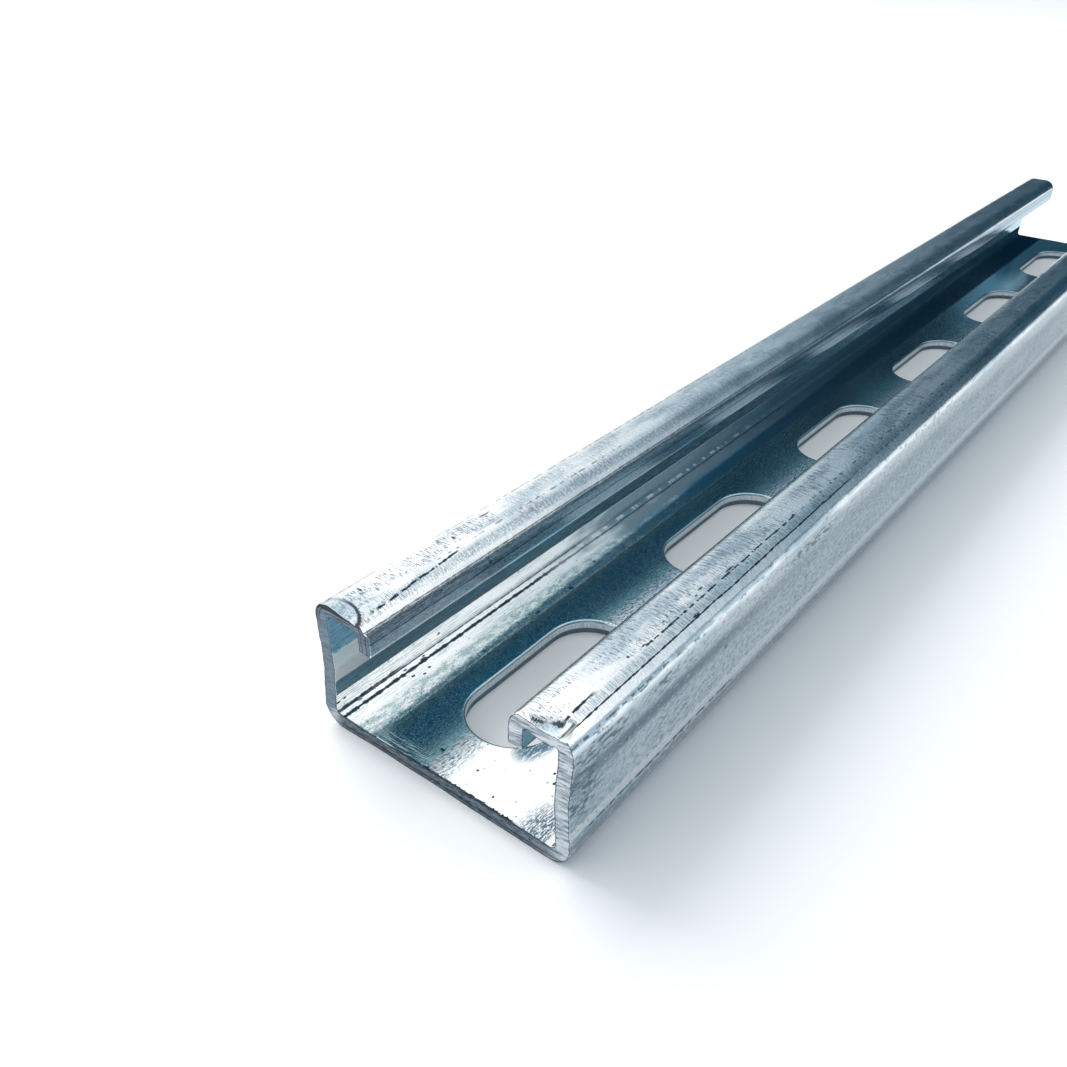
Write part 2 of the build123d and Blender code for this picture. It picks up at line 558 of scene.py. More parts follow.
class Nodes:
    """Short names for the shader nodes that the finishes are made of."""

    def __init__(self, tree):
        self.tree = tree
        tree.nodes.clear()

    def make(self, kind, inputs=(), **settings):
        node = self.tree.nodes.new("ShaderNode" + kind)
        for key, value in settings.items():
            setattr(node, key, value)
        for name, value in dict(inputs).items():
            self.feed(node.inputs[name], value)
        return node

    def out(self, node, name=0):
        return Value(self, node.outputs[name])

    def feed(self, socket, value):
        if isinstance(value, Value):
            self.tree.links.new(value.socket, socket)
        elif hasattr(socket.default_value, "__len__") and not hasattr(value, "__len__"):
            socket.default_value = (value, value, value)
        else:
            socket.default_value = value

    def calc(self, operation, a, b=0.0, c=0.0, clamp=False):
        return self.out(self.make("Math", {0: a, 1: b, 2: c}, operation=operation, use_clamp=clamp))

    def ramp(self, value, start, end, low=0.0, high=1.0):
        inputs = {"Value": value, "From Min": start, "From Max": end, "To Min": low, "To Max": high}
        node = self.make("MapRange", inputs, interpolation_type="SMOOTHSTEP", clamp=True)
        return self.out(node, "Result")

    def band(self, value, start, end, soft):
        """1 between start and end, with soft edges."""
        rising = self.ramp(value, start - soft, start + soft)
        falling = self.ramp(value, end - soft, end + soft, 1.0, 0.0)
        return rising * falling

    def stretched(self, vector, scale, turn=(0, 0, 0), shift=(0, 0, 0)):
        inputs = {"Vector": vector, "Scale": scale, "Rotation": turn, "Location": shift}
        return self.out(self.make("Mapping", inputs))

    def noise(self, vector, detail=2.0, roughness=0.5, distortion=0.0):
        inputs = {"Vector": vector, "Scale": 1.0, "Detail": detail, "Roughness": roughness,
                  "Distortion": distortion}
        return self.out(self.make("TexNoise", inputs), "Fac")

    def cloud(self, place, scale, detail=2.0, roughness=0.5, turn=0.0):
        """Noise over a place that is stretched, and turned about its third axis."""
        return self.noise(self.stretched(place, scale, (0, 0, turn)), detail, roughness)

    def blend(self, share, first, second):
        inputs = {"Factor": share}
        for number, colour in ((6, first), (7, second)):
            inputs[number] = colour if isinstance(colour, Value) else (*colour, 1.0)
        return self.out(self.make("Mix", inputs, data_type="RGBA"), 2)

    def split(self, vector):
        node = self.make("SeparateXYZ", {0: vector})
        return [Value(self, socket) for socket in node.outputs]

    def bump(self, height, distance):
        return self.out(self.make("Bump", {"Strength": 1.0, "Distance": distance, "Height": height}))

    def vector(self, a, b=0.0, c=0.0):
        return self.out(self.make("CombineXYZ", {0: a, 1: b, 2: c}))

    def most(self, a, b):
        return self.calc("MAXIMUM", a, b)

    def along(self, run, scale, seed, detail=2.0):
        """Noise that only changes along the channel."""
        inputs = {"Scale": scale, "Detail": detail}
        node = self.make("TexNoise", inputs, noise_dimensions="1D")
        self.feed(node.inputs["W"], run + 71.3 * seed)
        return self.out(node, "Fac")

    def line(self, run, s, place, half, start, end, wobble, dash, seed, soft=1.0):
        """A scored line along the channel at s = place, from run `start` to `end`."""
        sway = (self.along(run, 0.16, seed) - 0.5) * (4.0 * wobble)
        sway = sway + (self.along(run, 1.3, seed + 3) - 0.5) * wobble
        distance = abs(s - place - sway)
        width = self.ramp(self.along(run, 0.9, seed + 5), 0.3, 0.7, 0.65, 1.35) * half
        mask = self.ramp(distance, width * 0.6, width * 1.5, 1.0, 0.0)
        mask = mask * self.band(run, start, end, soft)
        if dash:
            broken = self.along(run, 0.55, seed + 8, 3.0)
            mask = mask * self.ramp(broken, dash - 0.04, dash + 0.04)
        return mask

    def pits(self, run, s, pitch, share, radius, seed=0, stretch=1):
        """Scattered pits: `pitch` apart, in that share of the cells, of that radius in mm."""
        place = self.vector(run * (1 / (pitch * stretch)), s * (1 / pitch))
        place = self.stretched(place, (1, 1, 1), shift=(seed, 2.3 * seed, 0))
        node = self.make("TexVoronoi", {"Vector": place, "Scale": 1}, voronoi_dimensions="2D")
        chance = self.split(self.out(node, "Color"))
        present = self.ramp(chance[0], 1 - share, 1 - share + 0.01)
        size = self.ramp(chance[1], 0, 1, 0.5 * radius / pitch, 1.3 * radius / pitch)
        spot = self.ramp(self.out(node, "Distance"), size * 0.5, size, 1, 0)
        return spot * present

    def spot(self, run, s, run_at, s_at, half_run, half_s):
        """A soft ellipse round run_at, s_at."""
        a = (run - run_at) * (1 / half_run)
        b = (s - s_at) * (1 / half_s)
        return self.ramp(a * a + b * b, 0.35, 1.3, 1, 0)

    def either(self, masks):
        """The strongest of the masks. Given one by one, they take little of the stack."""
        total = 0.0
        for mask in masks:
            total = self.most(total, mask)
        return total

    def spots(self, run, s, rows):
        return self.either(self.spot(run, s, *row) for row in rows)

    def lines(self, run, rows):
        return self.either(self.line(run, *row[:-1]) * row[-1] for row in rows)

    def strip(self):
        return self.out(self.make("Attribute", attribute_name="strip"), "Vector")


def new_material(name):
    material = bpy.data.materials.new(name)
    material.use_nodes = True
    return material, Nodes(material.node_tree)


def metal_surface(nodes, colour, roughness, normal, metallic=1.0):
    inputs = {"Metallic": metallic, "Base Color": colour, "Roughness": roughness, "Normal": normal}
    shader = nodes.make("BsdfPrincipled", inputs)
    nodes.make("OutputMaterial", {"Surface": nodes.out(shader)})


# ---- finishes

INK = (0.018, 0.04, 0.058)
INSIDE_INK = (0.009, 0.028, 0.044)
PALE = (0.97, 0.98, 0.985)
SPECK = (0.1, 0.14, 0.18)
LIP_LINE = 45.35          # where the thin line runs along the mouth face of each lip


def inside_colour(n, run, s, strip, grain, fleck):
    """Colour and scoring of the inside face of the sheet, with painted reflections in bands along
    the web and the foot of the walls, and painted shade under the lips and in the pockets under the
    flanges.
    """
    away = abs(s)
    fade = n.ramp(run, 38, 115)
    drawn = n.cloud(strip, (0.25, 5.5, 0.5), 3, 0.6)
    ragged = (grain - 0.5) * 1.6
    placed = s + ragged

    coat = Coat(n, n.ramp(fleck, 0.48, 0.7) * 0.22, (0.95, 0.965, 0.965), (0.5, 0.62, 0.66))
    # painted reflection: a duller bluish band across the web from s 10.9 to 14.6, in cloudy patches
    cloudy = n.cloud(strip, (0.45, 1.2, 0), 3, 0.65)
    dull_reflection = n.ramp(fleck, 0.44, 0.58, 0.15, 0.5) + n.ramp(cloudy, 0.42, 0.58, 0, 0.5)
    coat.lay(n.band(placed, 10.9, 14.6, 0.6) * dull_reflection, (0.26, 0.4, 0.41))
    patch = n.cloud(strip, (0.1, 0.3, 0))
    drifting = run + (patch - 0.5) * 60
    misty = n.ramp(patch, 0.4, 0.6) * n.ramp(drawn, 0.42, 0.6) * n.band(s, 14.2, 22.8, 0.4)
    coat.lay(misty * 0.6, (0.34, 0.47, 0.48))
    # painted reflection: the edge of the web, the bend and the foot of the wall turn grey further
    # along
    greyed_reflection = n.ramp(drifting, 42, 74) * n.band(s, 14.2, 22.8, 0.4)
    coat.lay(greyed_reflection, n.blend(n.ramp(s, 17, 19.5), (0.27, 0.34, 0.37), (0.25, 0.34, 0.38)))
    # painted reflection: a dark teal band on the web from s 10.6 to 14.4, further along
    cooled_reflection = n.ramp(drifting, 48, 95) * n.band(placed, 10.6, 14.4, 0.5)
    coat.lay(cooled_reflection, (0.06, 0.22, 0.34))
    # painted reflection: darker teal still, far along, from s 12 up the foot of the wall
    distant_reflection = n.ramp(drifting, 88, 140) * n.band(s, 12, 22.8, 0.4)
    coat.lay(distant_reflection * 0.88, (0.055, 0.15, 0.21))
    # painted shade: a dark strip of web under the edge of the lip, wider further along
    edge = placed - run * 0.022
    below = n.ramp(edge, 12.1, 11.3) * n.ramp(s, 10.96, 11.02)
    coat.lay(below * n.ramp(fleck, 0.6, 0.5, 0.4, 1), (0.02, 0.09, 0.14))
    # painted reflection: a teal band on the web from s 2.3 to 10.8, darker further along, and a
    # paler blue tint over the middle of the web further along
    web_reflection_band = n.band(placed, 2.3, 10.8, 0.45)
    cool_web_reflection = n.band(s, -15, 3.5, 1.5) * n.ramp(run, 30, 60)
    coat.lay(cool_web_reflection, (0.76, 0.9, 0.96))
    web_reflection_tone = n.blend(n.ramp(run, 120, 210, 0, 0.6), (0.48, 0.87, 0.93), (0.2, 0.46, 0.56))
    coat.lay(web_reflection_band * 0.9, web_reflection_tone)
    # painted reflection: a teal band low on the inside of the wall, bluer further along
    placed_wall = s + ragged * 0.5
    wall_teal_reflection = n.ramp(placed_wall, 22.45, 23.5) * n.ramp(placed_wall, 25.6, 24.9)
    wall_teal_reflection = wall_teal_reflection * n.ramp(drawn, 0.35, 0.65, 0.98, 0.6)
    wall_shade = n.blend(n.ramp(s, 23.3, 25), (0.24, 0.58, 0.74), (0.16, 0.47, 0.64))
    wall_shade = n.blend(n.ramp(run, 12, 50, 0, 0.75), wall_shade, (0.28, 0.7, 0.94))
    coat.lay(wall_teal_reflection, wall_shade)
    # painted shade in the pockets under the flanges, darker at -Y
    pocket_shade = n.ramp(away + ragged * 0.5, 29.6, 30.4)
    shade = n.blend(n.ramp(drawn, 0.4, 0.7), (0.13, 0.28, 0.38), (0.25, 0.47, 0.6))
    shade = n.blend(n.ramp(s, 1, -1, 0, 0.6), shade, (0.05, 0.13, 0.19))
    coat.lay(pocket_shade, shade)

    upper = n.line(run, s, 19.25, 0.5, -5, 13, 0.04, 0, 2, 3)
    scored = upper * n.ramp(drawn, 0.34, 0.46, 0.75, 1)
    scored = n.most(scored, n.lines(run, [
        # across, place, half width, from run, to run, wobble, dashes, seed, soft ends, share
        (s, 18.75, 0.2, -5, 14, 0.05, 0, 12, 3, 0.9),
        (s, 18.9, 0.2, 9, 56, 0.03, 0, 3, 3, 1),
        (s, 19.4, 0.4, 4, 80, 0.06, 0, 4, 6, 0.45),
        (s, 17, 0.28, -12, 50, 0.05, 0, 5, 10, 1),
        (s, 16.95, 0.17, 44, 130, 0.08, 0, 6, 14, 0.8),
    ]))
    knots = n.spots(run, s, [
        (15.7, 17.2, 0.75, 0.5), (12.2, 17.7, 0.4, 0.3), (16.2, 18, 0.4, 0.35),
        (12, 15.8, 0.35, 0.25), (14.9, 15.4, 0.3, 0.25), (13.4, 14.9, 0.3, 0.22),
        (3.8, 18.3, 0.5, 0.25), (1.5, 21.5, 0.35, 0.2), (0.4, 21.4, 0.4, 0.2),
        (20.1, 21.3, 0.35, 0.25), (35.2, 11.5, 0.4, 0.35), (43.6, 11.5, 0.5, 0.4),
        (52.3, 13, 0.4, 0.3), (22.7, 11.7, 0.4, 0.3),
    ])
    scored = n.most(scored, knots * n.ramp(fleck, 0.34, 0.44))

    # beads of zinc in the bend at the foot of the wall, painted lighter as a highlight, with painted
    # shade between them
    bent = (s - 18) * (s - 18) * 0.5
    beads_and_highlight = n.ramp(n.along(run + bent, 0.4, 11, 2), 0.47, 0.58)
    beads_and_highlight = beads_and_highlight * n.band(s, 17.4, 18.6, 0.3) * n.ramp(run, 40, 54)
    beads_and_highlight = beads_and_highlight * n.ramp(run, 98, 125, 1, 0.35)
    coat.lay(beads_and_highlight * 0.82, (0.74, 0.8, 0.79))
    between = n.band(s, 17.3, 19.4, 0.2) * (1 - beads_and_highlight) * n.ramp(run, 45, 70)
    coat.lay(between * 0.6, (0.14, 0.28, 0.36))

    ripple = n.cloud(strip, (1.2, 4.2, 0), 3, 0.6, turn=math.radians(3))
    ripple = n.ramp(ripple, 0.44, 0.58, 0.22, 1)
    place = n.ramp(s, -11.6, -14.2) * n.ramp(s, -17.3, -16.7)
    place = place * n.ramp(run + s * 0.3, -1.6, 3, 1, 0)
    ripple = ripple * place
    # painted reflection: a dark wavy patch on the web at -Y near the end, joined with the ripple
    # near the end in the -Y corner
    wavy_at = n.stretched(strip, (0.9, 3.2, 0), turn=(0, 0, math.radians(28)))
    wavy_reflection = n.ramp(n.noise(wavy_at, detail=2, distortion=0.3), 0.36, 0.5, 0.35, 1)
    wavy_reflection = wavy_reflection * n.spot(run, s, 13.4, -5.9, 5.2, 2.7)
    ripple_and_reflection = n.most(ripple, wavy_reflection) * 0.93
    coat.lay(ripple_and_reflection, (0.03, 0.12, 0.19))
    speckled = n.cloud(strip, (1.1, 3.6, 0), 3, 0.65)
    speckled = n.ramp(speckled, 0.48, 0.6) * n.band(s, -1, 2.8, 0.9)
    scattered = n.pits(run, s, 1.7, 0.42, 0.15, 9) * (1 - fade * 0.8)
    coat.lay(n.most(speckled, scattered) * 0.8, (0.05, 0.15, 0.22))
    notch = n.spots(run, s, [
        (3.8, 2.6, 0.24, 0.45), (8.2, -12.2, 0.3, 0.22), (3.9, -3.3, 0.26, 0.16),
        (1.7, -7.7, 0.25, 0.16), (9.6, -11.2, 0.25, 0.2),
    ])
    burr = n.ramp(run + (grain - 0.5) * 1.3, 0.34, 0.22)
    burr = burr * n.band(s, -12.5, 8, 1)
    coat.lay(n.most(n.most(scored, burr), notch), INSIDE_INK)

    bow = (s - 8) * (s - 8) * 0.012
    arc = run - bow
    scratch = n.noise(n.vector(arc * 3.4, s * 0.09, 3), detail=2, roughness=0.7)
    scratch = n.ramp(scratch, 0.53, 0.58) * n.ramp(run, 1.4, 2.8, 1, 0)
    scratch = scratch * n.band(s, 0.5, 13.5, 1)
    coat.lay(scratch * 0.9, (0.92, 0.95, 0.96))

    # painted shade: the rolled rims of the slots are darker grey, and the rounded edges of the lips
    # darker still
    rolled = n.ramp(n.split(strip)[2], SHEET - 0.002, SHEET - 0.03)
    rolled_tone = n.blend(n.ramp(away, 40, 43), (0.42, 0.49, 0.53), (0.2, 0.22, 0.23))
    coat.lay(rolled * 0.85, rolled_tone)
    # painted reflection: a near-white window on the inside of the +Y wall near the end
    window_reflection = n.band(s, 25.3, 29.8, 0.2) * n.ramp(run, 12, 5)
    coat.lay(window_reflection * n.ramp(fleck, 0.62, 0.54), (1, 1, 0.985))
    relief = scratch * 0.8
    dust = n.cloud(strip, (7, 8.5, 1), 1)
    coat.lay(n.ramp(dust, 0.52, 0.66, 0, 0.14), (0.14, 0.24, 0.3))
    satin = n.band(s, 19.7, 22.8, 0.25) * 0.06
    sparkle = web_reflection_band * n.ramp(fleck, 0.54, 0.64) * 0.3

    # the foot of the wall is shaded as one wide round corner, from s = 11 to 22.8: the mesh
    # has only the tight bend of the section there, between WEB_EDGE and FOOT_TOP
    flats = n.calc("MULTIPLY_ADD", s, -1 / 2.2, 22.8 / 2.2, clamp=True) * 42
    for start, reach, slope, curve in (
        (20.63, -1.5, 13, -6.5),
        (17.65, 1.19, 7.3, -3.65),
        (11, 6.65, 53.2, 23.3),
    ):
        share = n.calc("MULTIPLY_ADD", s, 1 / reach, -start / reach, clamp=True)
        flats = flats + share * n.calc("MULTIPLY_ADD", share, curve, slope)
    relief = relief + flats
    matt = n.ramp(drawn, 0.4, 0.62, 0.6, 0.35)
    soft_zones = n.most(wall_teal_reflection * matt, window_reflection * 0.95)
    metallic = 1 - n.most(soft_zones, sparkle)
    return coat.colour, relief - ripple_and_reflection * 0.3, satin, metallic


def zinc_base(n, strip):
    """The cloudy, streaked zinc under the marks of the outside faces."""
    cloud = n.cloud(strip, (0.035, 0.16, 0.2), 4, 0.6)
    streak = n.cloud(strip, (0.12, 3.4, 0.5), 3, 0.6)
    coat = Coat(n, n.ramp(cloud, 0.48, 0.7), (0.95, 0.965, 0.97), (0.52, 0.62, 0.68))
    coat.lay(n.ramp(streak, 0.5, 0.75) * 0.3, (0.46, 0.54, 0.6))
    return coat, cloud


def wall_colour(n, run, s, strip, grain, fleck):
    """Colour and scoring of the outside of the walls and of the underside, with painted shade on the
    walls, their waist and their bottom radius, and a painted highlight near their tops.
    """
    away = abs(s)
    coat, _ = zinc_base(n, strip)
    # painted shade: the walls are darker and bluer than the tops and the underside
    wall_side_shade = n.band(away, 20.6, 35.6, 0.4)
    coat.lay(wall_side_shade * 0.7, (0.56, 0.68, 0.74))

    # painted shade along the waist of the wall, strongest near the end
    waist_shade = n.band(away, 29.5, 32, 0.8) * n.ramp(run, 18, 60, 0.9, 0.15)
    coat.lay(waist_shade, (0.11, 0.175, 0.235))
    # painted highlight near the top of the wall, further along
    crest_highlight = n.band(away, 32.8, 35.8, 0.6) * n.ramp(run, 15, 40)
    coat.lay(crest_highlight * 0.6, (0.95, 0.98, 0.985))
    coat.lay(n.ramp(run, 14, 0, 0, 0.5), (0.36, 0.48, 0.56))
    # painted shade on the bottom radius of the wall
    heel_shade = n.ramp(away, 21.9, 21.3) * n.ramp(away, 17, 19)
    coat.lay(heel_shade * 0.75, (0.28, 0.34, 0.4))
    mottle = n.cloud(strip, (0.9, 1.6, 0), 5, 0.75, turn=0.5)
    coat.lay(n.ramp(mottle, 0.47, 0.62, 0, 0.68), (0.26, 0.35, 0.42))
    coat.lay(n.ramp(mottle, 0.47, 0.36, 0, 0.75), (0.82, 0.86, 0.89))
    rough_strip = n.band(away + (mottle - 0.5) * 1.2, 22.4, 23.7, 0.25) * n.ramp(grain, 0.36, 0.5)
    coat.lay(rough_strip * 0.85, PALE)
    slant = n.cloud(strip, (0.55, 4.2, 0), 3, 0.65, turn=math.radians(33))
    scuffs = n.ramp(slant, 0.55, 0.62)
    patches = n.ramp(n.cloud(strip, (0.11, 0.22, 0), 1), 0.46, 0.58)
    scuffs = scuffs * patches * n.band(away, 23.8, 34.8, 0.5)
    coat.lay(scuffs * 0.85, (0.13, 0.19, 0.26))

    leaning = n.cloud(strip, (0.6, 1.5, 0), 3, 0.65, turn=math.radians(-40))
    blots = n.ramp(leaning, 0.48, 0.57) * n.spots(run, s, [
        (5.2, -34, 6.5, 1.9), (18.8, -34.6, 3.4, 1), (2.4, -29, 3.4, 4.6),
        (60, -34, 9, 1.2),
    ])
    coat.lay(blots * 0.88, (0.08, 0.14, 0.19))

    small = n.pits(run, s, 1.3, 0.4, 0.11, 3, 1.3)
    coat.lay(small * 0.7, SPECK)
    heel_line = n.line(run, s, -22.15, 0.15, 3.5, 37, 0.05, dash=0.45, seed=27)
    knots = n.spots(run, s, [(11.2, -30.1, 0.28, 0.25), (35, -29.2, 0.4, 0.3)])
    coat.lay(n.most(heel_line, knots) * 0.92, INK)
    return coat.colour, mottle * 0.8 - blots * 0.5, 0, 1


def top_colour(n, run, s, strip, grain, fleck):
    """Colour and scoring of the shoulders, the flange tops and the mouth faces, with painted
    highlights on the shoulders, the lip edges and the -Y flange near the end, painted reflection on
    the mouth faces, and painted shade at the foot of the shoulders and along the half-moon facet's
    step.
    """
    away = abs(s)
    coat, cloud = zinc_base(n, strip)
    frayed = n.cloud(strip, (0.5, 2, 0), 4, 0.7)
    worn_edge = n.band(away + (frayed - 0.5) * 0.5, 35.85, 36.42, 0.12)
    worn_edge = worn_edge * n.ramp(run, 90, 15, 0.35, 0.85)
    # painted shade at the foot of the shoulders, going on from that of the walls
    coat.lay(n.ramp(away, 36, 35.5) * 0.6, (0.47, 0.59, 0.66))
    coat.lay(worn_edge, (0.27, 0.39, 0.47))
    flecked_edge = n.band(away, 35.4, 36.3, 0.25) * n.ramp(frayed, 0.57, 0.63)
    coat.lay(flecked_edge * 0.8, (0.08, 0.12, 0.17))
    # painted highlight: a pale strip along the shoulders, fainter further along
    shoulder_highlight = n.band(away, 36.45, 37.15, 0.08) * n.ramp(run, 150, 60, 0.3, 0.85)
    coat.lay(shoulder_highlight, PALE)

    # flange tops: marks across the rolling direction
    on_top = n.band(away, 38.3, 43, 0.35)
    bend = away - 40.5
    across = n.vector((run + bend * bend * 0.06) * 2.3, s * 0.42, 0)
    chatter = n.noise(across, detail=3, roughness=0.6)
    fine_chatter = n.cloud(strip, (5.2, 1.1, 0), 2, 0.6)
    where = n.cloud(strip, (0.1, 0.3, 0))
    growth = n.ramp(run, 2, 26, 0.25, 1)
    marks = n.ramp(chatter, 0.5, 0.62) * n.ramp(where, 0.36, 0.6) * (on_top * growth)
    # painted highlight: near-white over the -Y shoulder and flange top near the sawn end
    coat.lay(n.ramp(run, 14, 4) * n.ramp(s, -36.5, -37.2), (0.97, 0.975, 0.98))
    calm = 1 - n.ramp(s, 35, 36) * n.ramp(run, 15, 35, 0, 0.5)
    coat.lay(n.ramp(where, 0.5, 0.66) * 0.4, (0.42, 0.54, 0.62))
    coat.lay(n.ramp(where, 0.44, 0.34) * 0.6, PALE)
    coat.lay(marks * calm * 0.75, (0.25, 0.32, 0.38))
    ticks = n.ramp(fine_chatter, 0.57, 0.62) * (on_top * n.ramp(where, 0.4, 0.52))
    near_ticks = n.ramp(fine_chatter, 0.52, 0.58) * n.band(s, 38.2, 41, 0.3)
    near_ticks = near_ticks * (n.band(run, 2.9, 30, 0.5) * n.ramp(chatter, 0.42, 0.54))
    ticks = n.most(ticks * calm, near_ticks)
    coat.lay(ticks * 0.8, (0.14, 0.18, 0.23))

    # the strip between the two scored lines of the -Y shoulder, and its match at +Y
    hatch = n.band(s, -38.1, -37.3, 0.08) * n.ramp(fine_chatter, 0.44, 0.6)
    coat.lay(hatch * 0.62, (0.3, 0.41, 0.48))
    sink = n.spots(run, s, [
        (27.8, -37.35, 0.8, 0.16), (43.4, -37.2, 1, 0.13), (39.3, -38.6, 1.2, 0.17),
        (15.2, -38.75, 0.28, 0.22), (32.8, -39.3, 0.6, 0.17), (23.7, -39.2, 0.3, 0.14),
        (31.1, -38.9, 0.35, 0.15), (57.6, -38.4, 0.35, 0.2), (18.2, -38.5, 0.55, 0.14),
        (4.7, 38.8, 0.25, 0.5), (21.6, 39.7, 0.3, 0.4), (29, 38.9, 1.2, 0.16),
        (23.8, 44.7, 0.3, 0.35),
    ])
    scored = sink * n.ramp(fleck, 0.34, 0.46)
    drift = s + (run - 8) * 0.035
    scored = n.most(scored, n.lines(run, [
        # across, place, half width, from run, to run, wobble, dashes, seed, soft ends, share
        (s, -37.2, 0.065, 1.3, 74, 0.035, 0, 21, 2, 1),
        (s, -37.25, 0.08, 66, 200, 0.06, 0.5, 22, 20, 0.5),
        (s, -38.2, 0.13, 1.8, 7.5, 0.04, 0.36, 23, 0.8, 1),
        (s, -38.25, 0.11, 17.5, 58, 0.04, 0.44, 24, 1, 1),
        (s, -38.25, 0.12, 58, 130, 0.06, 0.53, 25, 12, 0.7),
        (s, -36.1, 0.09, -1, 22, 0.07, 0.5, 26, 4, 0.75),
        (s, -37.42, 0.1, 0.3, 2.6, 0.03, 0, 28, 0.4, 0.8),
        (drift, 42.45, 0.1, 2.6, 20, 0.08, 0.43, 31, 1, 1),
        (s, 41.7, 0.09, 16, 60, 0.05, 0.52, 32, 1, 0.6),
        (s, 37.85, 0.09, 20, 120, 0.05, 0.48, 33, 1, 0.45),
        (s, 37.4, 0.14, 0.6, 9.5, 0.02, 0, 34, 1, 0.6),
        (away, 43.72, 0.06, -1, 306, 0.025, 0, 35, 1, 0.75),
        (away, LIP_LINE, 0.09, -1, 306, 0.03, 0, 36, 1, 0.85),
    ]))
    blue_strip = n.band(away, 42.3, 43.15, 0.15) * n.ramp(grain, 0.36, 0.6)
    blue_strip = blue_strip * n.ramp(run, 4, 30, 0.2, 0.7)
    coat.lay(blue_strip, (0.36, 0.46, 0.53))

    # mouth faces of the lips: a dark slate painted reflection, bluer further along, with dark ticks,
    # lighter towards the lower edge, and a painted highlight along the rounded edge of the lip,
    # fading further along
    drawn = n.cloud(strip, (0.5, 4.5, 0.5), 3, turn=math.radians(6))
    mouth = n.ramp(away, 43.95, 44.2)
    mouth_reflection_and_ticks = Coat(n, n.ramp(drawn, 0.38, 0.66), (0.08, 0.15, 0.2), (0.25, 0.36, 0.43))
    ticked = n.cloud(strip, (2.4, 2.2, 0), 3, 0.7, turn=0.7)
    mouth_reflection_and_ticks.lay(n.ramp(run, 8, 45, 0, 0.6), (0.26, 0.46, 0.58))
    mouth_reflection_and_ticks.lay(n.ramp(ticked, 0.52, 0.62, 0, 0.8), (0.05, 0.09, 0.13))
    lower_face = n.ramp(away, 45.4, 45.6) * n.ramp(grain, 0.42, 0.6, 0.15, 0.6)
    mouth_reflection_and_ticks.lay(lower_face, (0.38, 0.54, 0.63))
    lip_edge_highlight = n.ramp(away, 46.95, 47.15) * n.ramp(run, 40, 120, 0.7, 0.1)
    mouth_reflection_and_ticks.lay(lip_edge_highlight, (0.9, 0.91, 0.92))
    coat.lay(mouth * 0.95, mouth_reflection_and_ticks.colour)
    edge_tan = n.band(away, 42.55, 42.8, 0.1) * n.ramp(s, 0, -1)
    coat.lay(edge_tan * 0.5, (0.8, 0.74, 0.6))
    cream = n.band(s, 36.6, 38.2, 0.5) * n.ramp(cloud, 0.3, 0.6, 0.15, 0.45)
    coat.lay(cream, (0.88, 0.84, 0.72))

    small = n.pits(run, s, 1.3, 0.5, 0.11, 3, 1.3)
    small = small * n.ramp(where, 0.4, 0.6, 0.25, 1)
    coat.lay(small * 0.75, SPECK)

    coat.lay(scored, INK)

    # the rim of the half-moon facet that the saw left on the flange at +Y: its dark line is painted
    # shadow along the facet's step
    a = (run + 0.2) * (1 / MOON_RUN)
    b = (s - MOON_S) * (1 / MOON_HALF)
    reach = n.calc("SQRT", a * a + b * b)
    rim = n.band(reach + (fleck - 0.5) * 0.18, 0.87, 1.02, 0.03)
    rim = rim * n.ramp(s, 35, 36)
    coat.lay(rim * n.ramp(s, 37.6, 40.3, 0.3, 1), (0.055, 0.065, 0.085))
    patch = n.ramp(reach, 0.92, 0.88) * (n.ramp(grain, 0.46, 0.56) * n.ramp(s, 35, 36))
    coat.lay(patch * 0.6, (0.36, 0.5, 0.62))

    # the crack in the flange at -Y, and the chipped coating between it and the end
    crack_at = n.ramp(s, -41.8, -37.6, 0.3, 1.75) + (grain - 0.5) * 0.9
    half = n.ramp(s, -39.5, -38.5, 0.13, 0.42)
    crack = n.ramp(abs(run - crack_at), half * 0.6, half, 1, 0)
    thin = n.band(s, -40.1, -39.2, 0.15)
    crack = crack * n.band(s, -41.4, -38, 0.12) * (1 - thin * 0.6)
    chipped = n.ramp(crack_at - run, 0, 0.2) * n.band(s, -41.2, -37.9, 0.3)
    coat.lay(chipped * 0.75, (0.58, 0.71, 0.79))
    coat.lay(crack * 0.92, (0.03, 0.055, 0.08))
    relief = chatter * (on_top * 0.5)
    return coat.colour, relief - ticks * 0.4, 0, 1


def zinc_coating(name, paint, smooth, uneven):
    """Zinc-coated, roll-formed sheet: bluish, scored along the rolling direction."""
    material, n = new_material(name)
    strip = n.strip()
    x, s, _ = n.split(strip)
    run = x - NEAR_END
    grain = n.cloud(strip, (2.4, 3.4, 1), 3, 0.65)
    fleck = n.cloud(strip, (4.6, 6, 1), 2, 0.6)
    colour, relief, satin, metallic = paint(n, run, s, strip, grain, fleck)
    fine = n.cloud(strip, (1.1, 5, 0.5), 2, 0.6)
    peel = n.cloud(strip, (0.7, 1.3, 1), 2, 0.5)
    height = (grain * 0.45 + fine * 0.45 + peel * 0.5) * uneven + relief
    roughness = n.ramp(grain, 0.3, 0.7, smooth, smooth + 0.09) + satin
    metal_surface(n, colour, roughness, n.bump(height, 0.00005), metallic)
    return material


